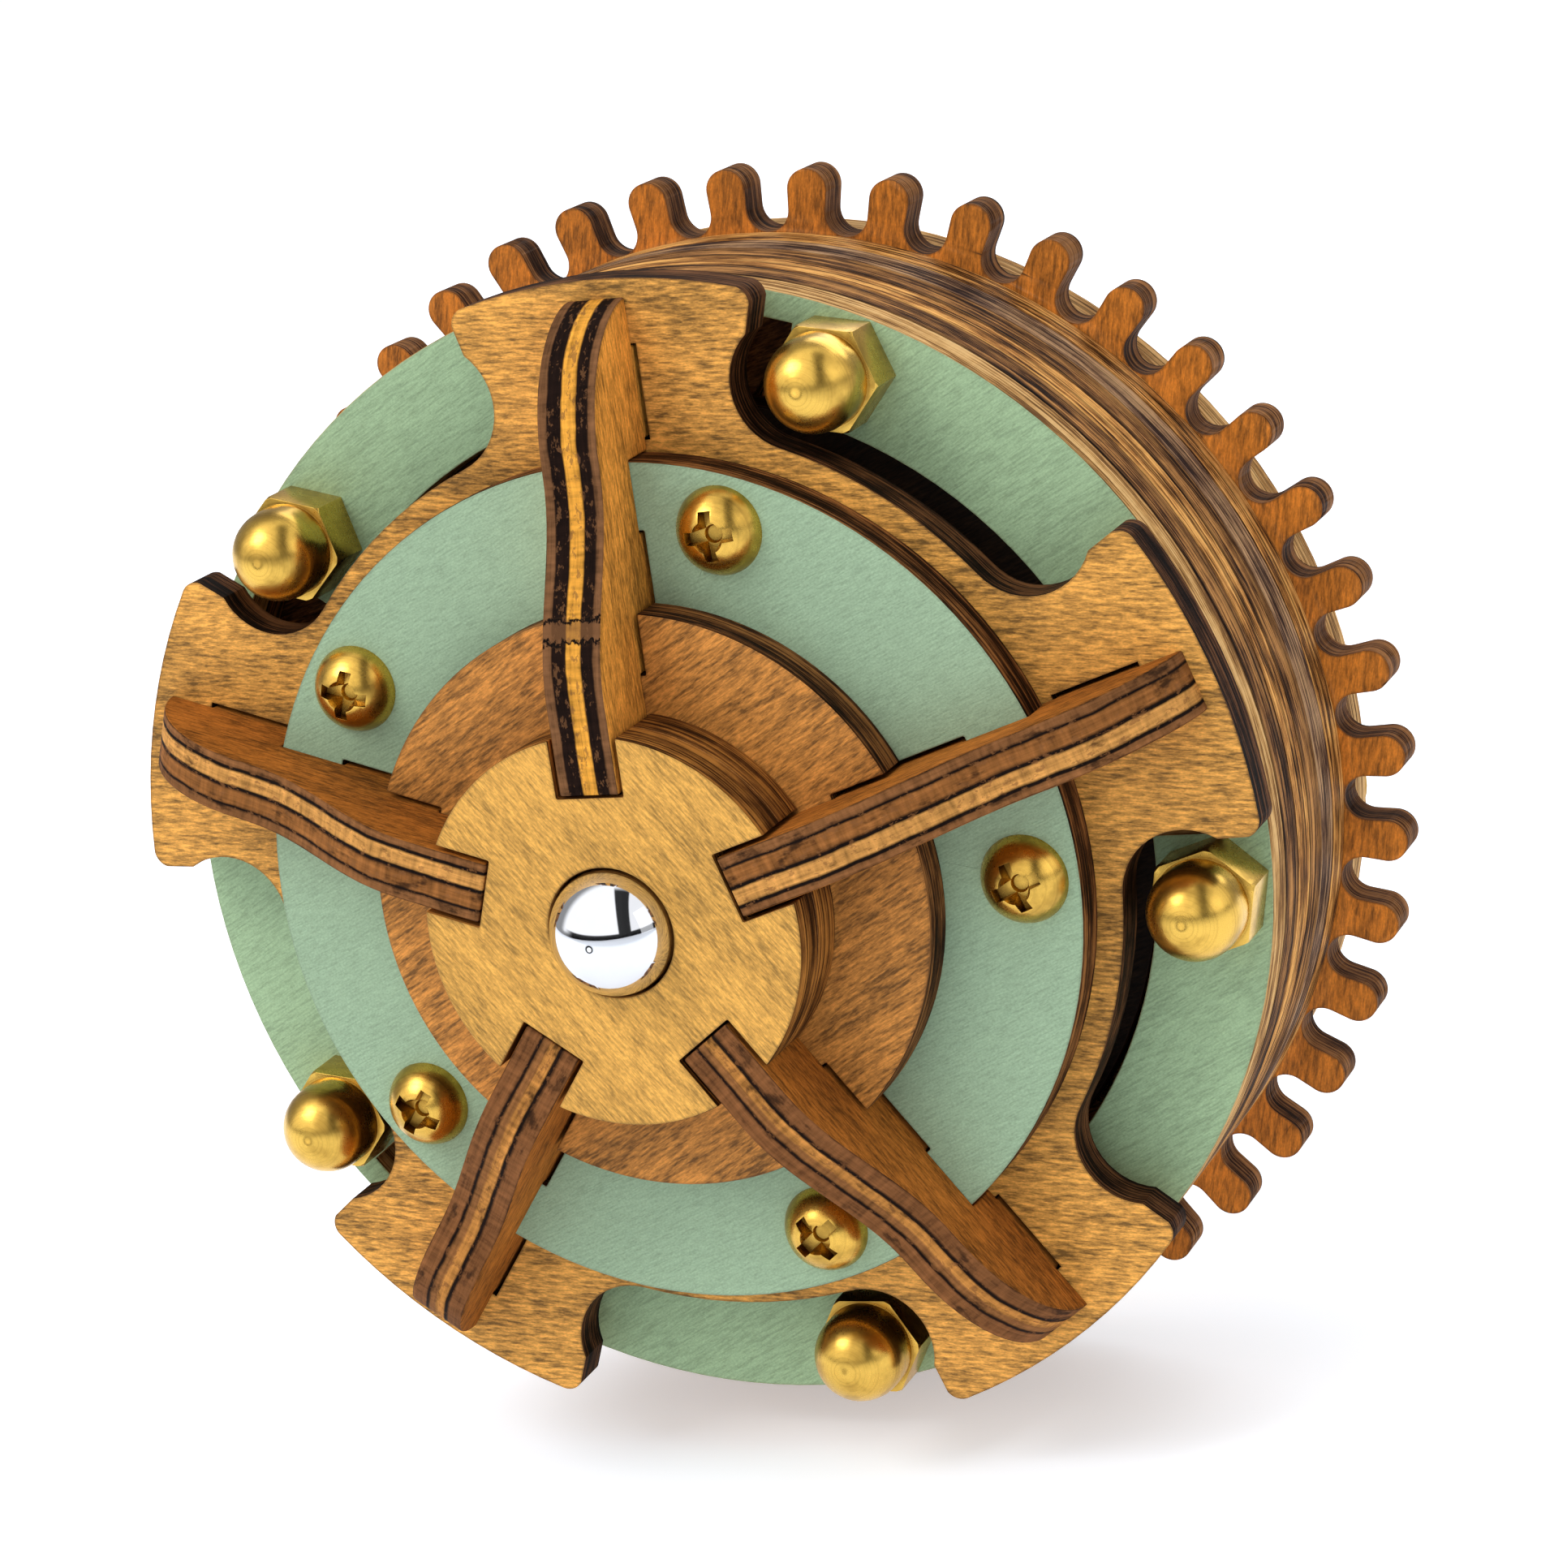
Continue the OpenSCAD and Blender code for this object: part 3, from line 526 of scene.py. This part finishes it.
def aim(obj, target, roll_deg=0.0):
    turn = (target - obj.location).to_track_quat("-Z", "Y")
    obj.rotation_mode = "QUATERNION"
    obj.rotation_quaternion = turn @ Quaternion((0.0, 0.0, 1.0), math.radians(roll_deg))


def add_light(name, direction, distance, size, watts, colour=(1.0, 1.0, 1.0)):
    light = bpy.data.lights.new(name, "AREA")
    light.shape = "RECTANGLE"
    light.size, light.size_y = size
    light.energy = watts
    light.color = colour
    obj = bpy.data.objects.new(name, light)
    scene.collection.objects.link(obj)
    obj.location = centre + Vector(direction).normalized() * distance
    aim(obj, centre)


def add_world():
    """Two broad soft walls of light behind the camera, with a dark gap and horizon between them.

    The round metal mirrors these. A view from behind at a low elevation sees the dark bands too.
    """
    world = bpy.data.worlds.new("studio")
    scene.world = world
    graph = Graph(world)
    azimuth = math.radians(CAMERA_AZIMUTH)
    direction = graph.add("TexCoord", output=0)
    across = graph.dot(direction, (math.cos(azimuth), math.sin(azimuth), 0.0))
    toward = graph.dot(direction, (math.sin(azimuth), -math.cos(azimuth), 0.0))
    up = graph.add("SeparateXYZ", output=2, Vector=direction)
    gap = graph.math("MULTIPLY", graph.between(across, GAP_SIDE, GAP_HALF + 0.04, GAP_HALF),
                     graph.level(toward, -0.1, 0.1))
    gap = graph.math("MULTIPLY", gap, graph.level(up, 0.0, 0.05))
    horizon = graph.math("MULTIPLY", graph.between(up, 0.05, 0.1, 0.06), graph.level(toward, -0.2, 0.2))
    dark = graph.math("MAXIMUM", gap, horizon)
    wall = graph.math("MULTIPLY", graph.level(toward, -0.35, -0.1), graph.level(up, 0.02, 0.1))
    left = graph.level(across, GAP_SIDE + 0.05, GAP_SIDE - 0.05)
    glow = graph.math("ADD", RIGHT_WALL, graph.math("MULTIPLY", left, LEFT_WALL - RIGHT_WALL))
    bright = graph.math("ADD", WORLD_STRENGTH, graph.math("MULTIPLY", wall, glow))
    lit = graph.math("SUBTRACT", 1.0, graph.math("MULTIPLY", dark, 0.97))
    strength = graph.math("MULTIPLY", lit, bright)
    tree = graph.tree
    background = tree.nodes.new("ShaderNodeBackground")
    background.inputs[0].default_value = (1.0, 1.0, 1.0, 1.0)
    tree.links.new(strength, background.inputs[1])
    out = tree.nodes.new("ShaderNodeOutputWorld")
    tree.links.new(background.outputs[0], out.inputs[0])


def add_camera():
    camera = bpy.data.objects.new("camera", bpy.data.cameras.new("camera"))
    scene.collection.objects.link(camera)
    camera.data.lens = CAMERA_LENS
    camera.data.sensor_width = 36.0
    camera.data.sensor_fit = "HORIZONTAL"
    camera.data.clip_start = 0.01
    azimuth, elevation = math.radians(CAMERA_AZIMUTH), math.radians(CAMERA_ELEVATION)
    away = Vector((math.cos(elevation) * math.sin(azimuth),
                   -math.cos(elevation) * math.cos(azimuth), math.sin(elevation)))
    target = centre + CAMERA_SHIFT
    camera.location = target + away * CAMERA_DISTANCE
    aim(camera, target, CAMERA_ROLL)
    scene.camera = camera


add_floor()
add_world()
add_light("key", (-0.6, -0.7, 1.0), 0.9, (0.4, 0.4), 3.0)
add_light("fill", (1.3, -0.25, 0.4), 0.9, (0.4, 0.6), 0.4)
add_light("back", (0.2, 0.9, 0.8), 0.9, (0.8, 0.5), 3.0)
add_camera()
scene.view_settings.view_transform = "Standard"
